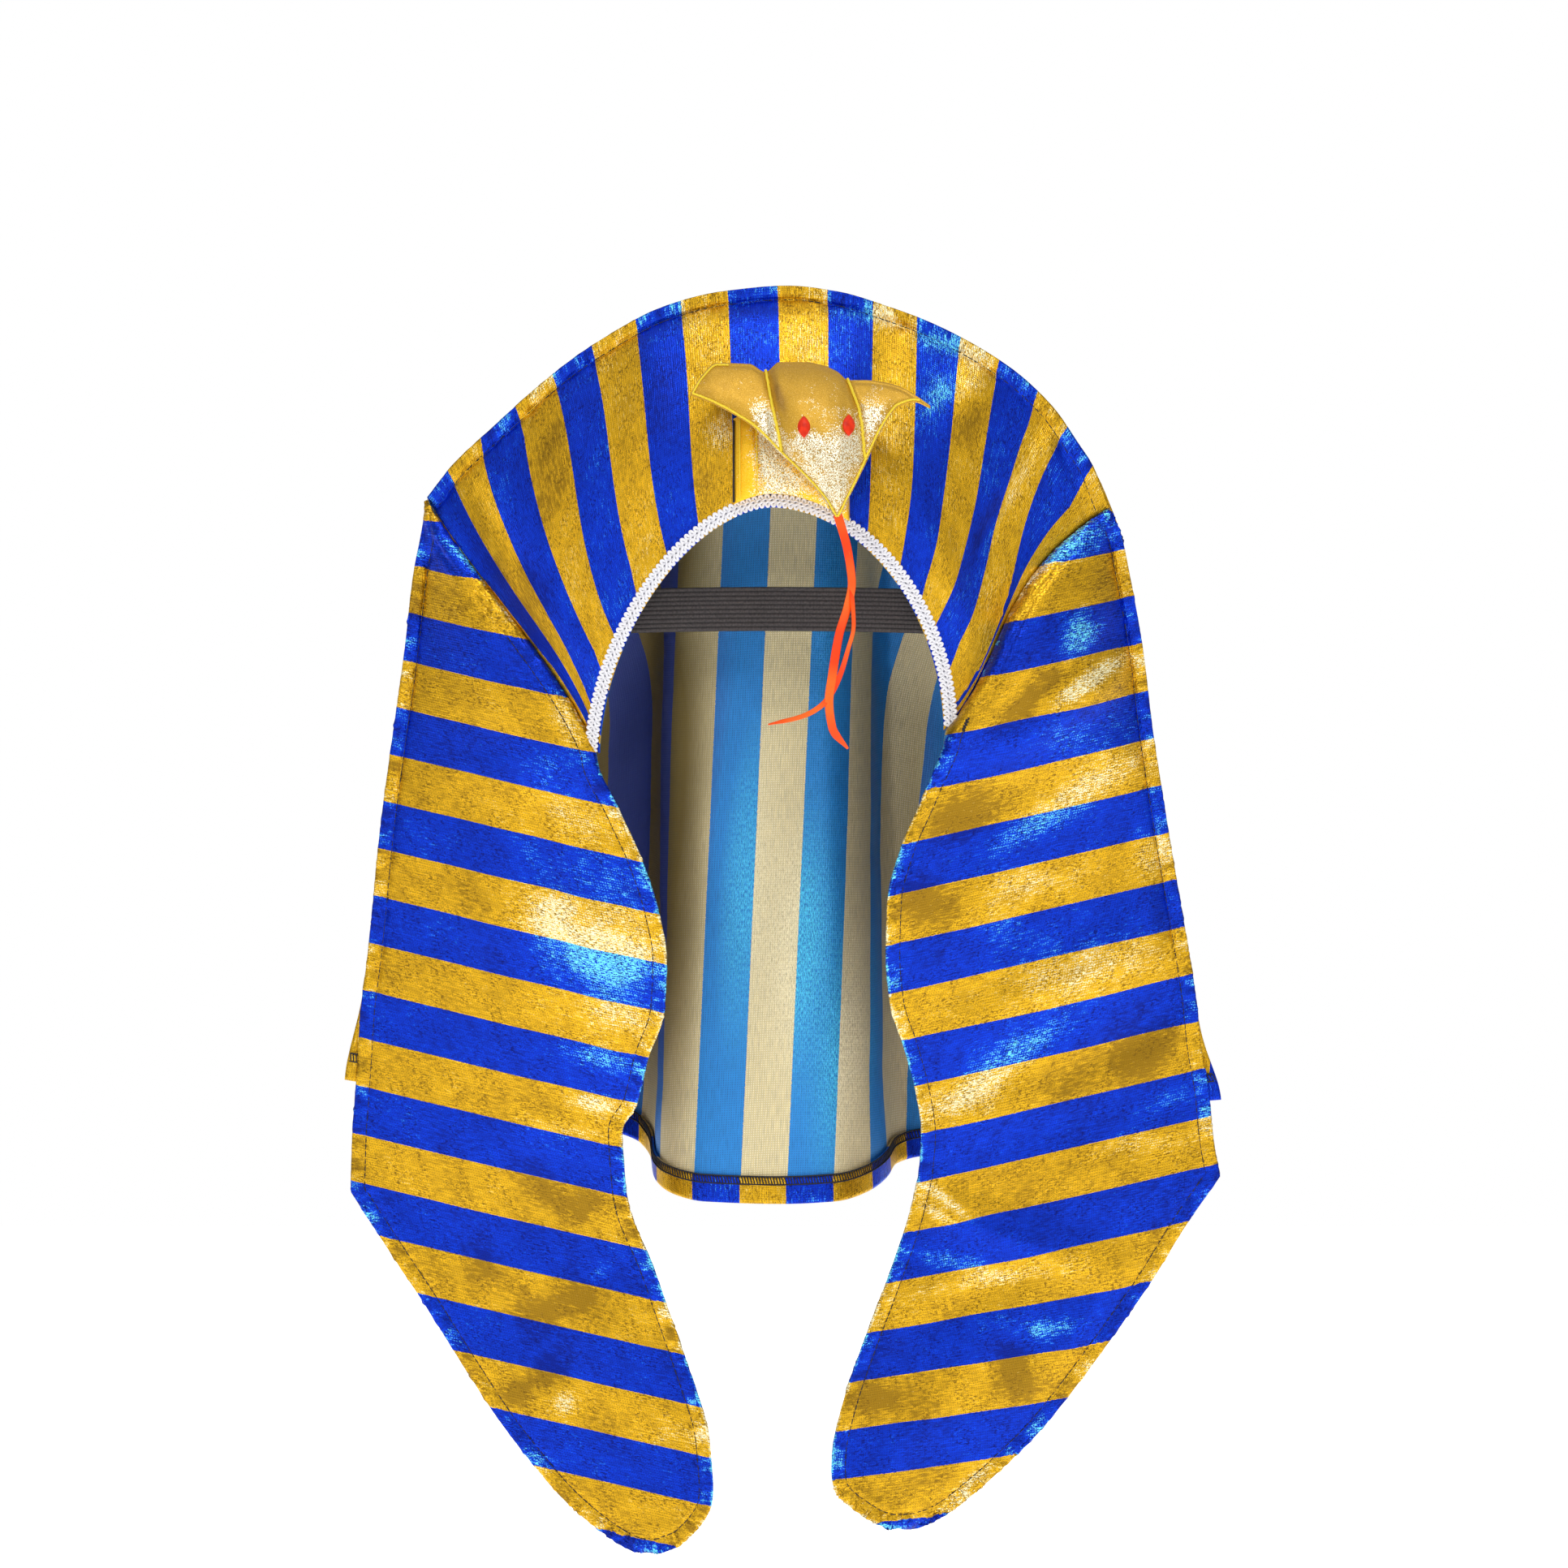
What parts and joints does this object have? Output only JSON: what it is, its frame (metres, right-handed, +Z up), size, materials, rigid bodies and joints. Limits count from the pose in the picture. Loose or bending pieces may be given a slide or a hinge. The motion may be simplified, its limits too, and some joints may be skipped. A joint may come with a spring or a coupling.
{
  "type": "pharaoh headdress",
  "caption": "Striped cloth headdress with an arched crown, side lappets, a fluted back panel, a brow braid and a padded cobra with a forked tongue.",
  "frame": {"origin": "inside the top of the crown, on the middle plane, where the head carries it", "axes": "+Z up, front towards -Y, +X towards the lappet on the right of the front view"},
  "size_m": [0.3779, 0.1549, 0.5469],
  "materials": {
    "striped_lame": "metallic lame cloth woven in cobalt blue and gold stripes, duller on its wrong side",
    "gimp_braid": "white gimp braid with silver picot loops",
    "elastic": "charcoal ribbed woven elastic",
    "gold_lame": "glittering gold lame, padded, with yellow edge stitching",
    "red_eye": "glossy red fabric",
    "orange_ribbon": "orange-red satin ribbon"
  },
  "bodies": {
    "root": {"crown_front": "striped_lame", "back_panel": "striped_lame", "lappet_left": "striped_lame", "lappet_right": "striped_lame", "brow_braid": "gimp_braid", "elastic_band": "elastic", "cobra_head": "gold_lame", "cobra_body": "gold_lame", "eye_left": "red_eye", "eye_right": "red_eye", "tongue": "orange_ribbon"}
  },
  "joints": []
}
